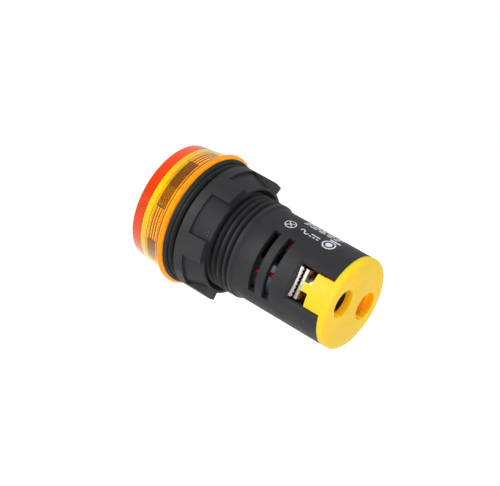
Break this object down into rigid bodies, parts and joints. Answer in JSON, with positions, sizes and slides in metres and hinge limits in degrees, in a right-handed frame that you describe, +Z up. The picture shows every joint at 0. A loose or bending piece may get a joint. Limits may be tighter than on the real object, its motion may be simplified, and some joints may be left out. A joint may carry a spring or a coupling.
{
  "type": "panel pilot light",
  "caption": "Round pilot light for a panel hole, with a domed-edge lens, a threaded barrel, a ring nut and screw terminals under a snap cover.",
  "frame": {"origin": "centre of the gasket's rear face, which the panel's front lies against, on the light's axis", "axes": "+Y runs back along the axis, from the lens to the terminals; +Z up; the two wire windows open towards +X and -X"},
  "size_m": [0.0306, 0.0494, 0.0306],
  "materials": {
    "lens_amber": "tinted clear moulding, polished outside",
    "diffuser_yellow": "milky yellow moulding",
    "housing_black": "fine satin moulding",
    "nut_black": "smooth satin moulding",
    "gasket_rubber": "matt moulded rubber",
    "cover_yellow": "translucent moulding, half gloss",
    "white_lacquer": "white lacquer, also the print on the housing",
    "board_green": "green board lacquer",
    "led_package": "white package with a yellow window",
    "capacitor_film": "dipped blue-grey resin",
    "capacitor_sleeve": "dark shrink sleeve over a metal can",
    "rectifier_black": "matt moulded package",
    "resistor_body": "lacquered ceramic rod",
    "resistor_red": "lacquered ceramic rod",
    "pin_tin": "tinned brass",
    "plate_nickel": "bright nickel plating",
    "screw_zinc": "bright zinc plating",
    "wire_red": "extruded sleeve",
    "wire_black": "extruded sleeve"
  },
  "bodies": {
    "root": {"housing": "housing_black", "gasket": "gasket_rubber", "lens": "lens_amber", "diffuser": "diffuser_yellow", "led_board": "white_lacquer", "led_1": "led_package", "led_2": "led_package", "led_3": "led_package", "led_4": "led_package", "led_5": "led_package", "led_6": "led_package", "driver_board": "board_green", "film_capacitor": "capacitor_film", "smoothing_capacitor": "capacitor_sleeve", "rectifier": "rectifier_black", "dropper_resistor": "resistor_body", "bleed_resistor": "resistor_red", "link_pins": "pin_tin", "contact_plate_1": "plate_nickel", "contact_plate_2": "plate_nickel", "lead_wire_1": "wire_black", "lead_wire_2": "wire_red"},
    "nut": {"panel_nut": "nut_black"},
    "cover": {"terminal_cover": "cover_yellow"},
    "clamp_1": {"clamp_plate_1": "plate_nickel"},
    "screw_1": {"terminal_screw_1": "screw_zinc"},
    "clamp_2": {"clamp_plate_2": "plate_nickel"},
    "screw_2": {"terminal_screw_2": "screw_zinc"}
  },
  "joints": [
    {"name": "nut_slide", "type": "slide", "parent": "root", "child": "nut", "axis": [0, 1, 0], "range_m": [0, 0.045]},
    {"name": "cover_slide", "type": "slide", "parent": "root", "child": "cover", "axis": [0, 1, 0], "range_m": [0, 0.015]},
    {"name": "clamp_1_slide", "type": "slide", "parent": "root", "child": "clamp_1", "axis": [0, 1, 0], "range_m": [0, 0.0021]},
    {"name": "screw_1_turn", "type": "hinge", "parent": "clamp_1", "child": "screw_1", "pos_m": [-0.005, 0.02975, 0], "axis": [0, 1, 0], "range_deg": [0, 1260]},
    {"name": "clamp_2_slide", "type": "slide", "parent": "root", "child": "clamp_2", "axis": [0, 1, 0], "range_m": [0, 0.0021]},
    {"name": "screw_2_turn", "type": "hinge", "parent": "clamp_2", "child": "screw_2", "pos_m": [0.005, 0.02975, 0], "axis": [0, 1, 0], "range_deg": [0, 1260]}
  ],
  "couplings": [
    {"joint": "screw_1_turn", "follows": "clamp_1_slide", "rad_per_m": 10472},
    {"joint": "screw_2_turn", "follows": "clamp_2_slide", "rad_per_m": 10472}
  ]
}
